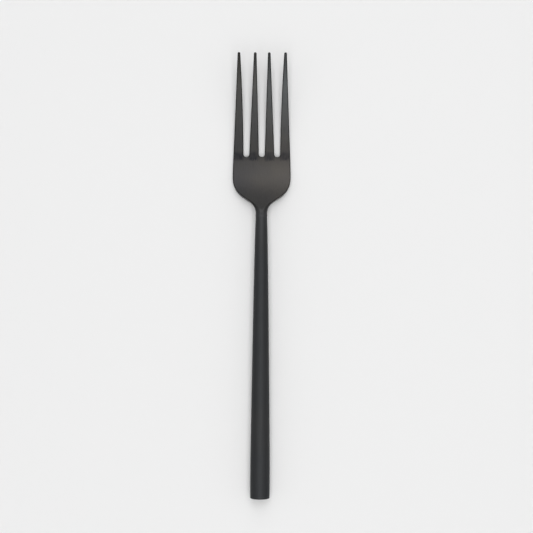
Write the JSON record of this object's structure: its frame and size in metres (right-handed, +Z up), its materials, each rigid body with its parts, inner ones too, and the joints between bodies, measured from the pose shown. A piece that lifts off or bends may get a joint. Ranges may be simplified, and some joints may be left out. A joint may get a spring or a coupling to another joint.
{
  "type": "dinner fork",
  "caption": "Black stainless dinner fork with tapering tines, a flat palm and a hollow round handle closed by a flat cap.",
  "frame": {"origin": "on the table under the middle of the fork's length and width, the fork lying with its tines curving up", "axes": "+Y along the fork towards the tips of the tines, +X across it, +Z up off the table"},
  "size_m": [0.0268, 0.205, 0.012],
  "materials": {
    "black_steel": "satin black coating over lengthwise brushed stainless steel",
    "braze_alloy": "dull, as melted"
  },
  "bodies": {
    "root": {"fork_head": "black_steel", "handle_tube": "black_steel", "butt_cap": "black_steel", "neck_braze_ring": "braze_alloy", "butt_braze_ring": "braze_alloy"}
  },
  "joints": []
}
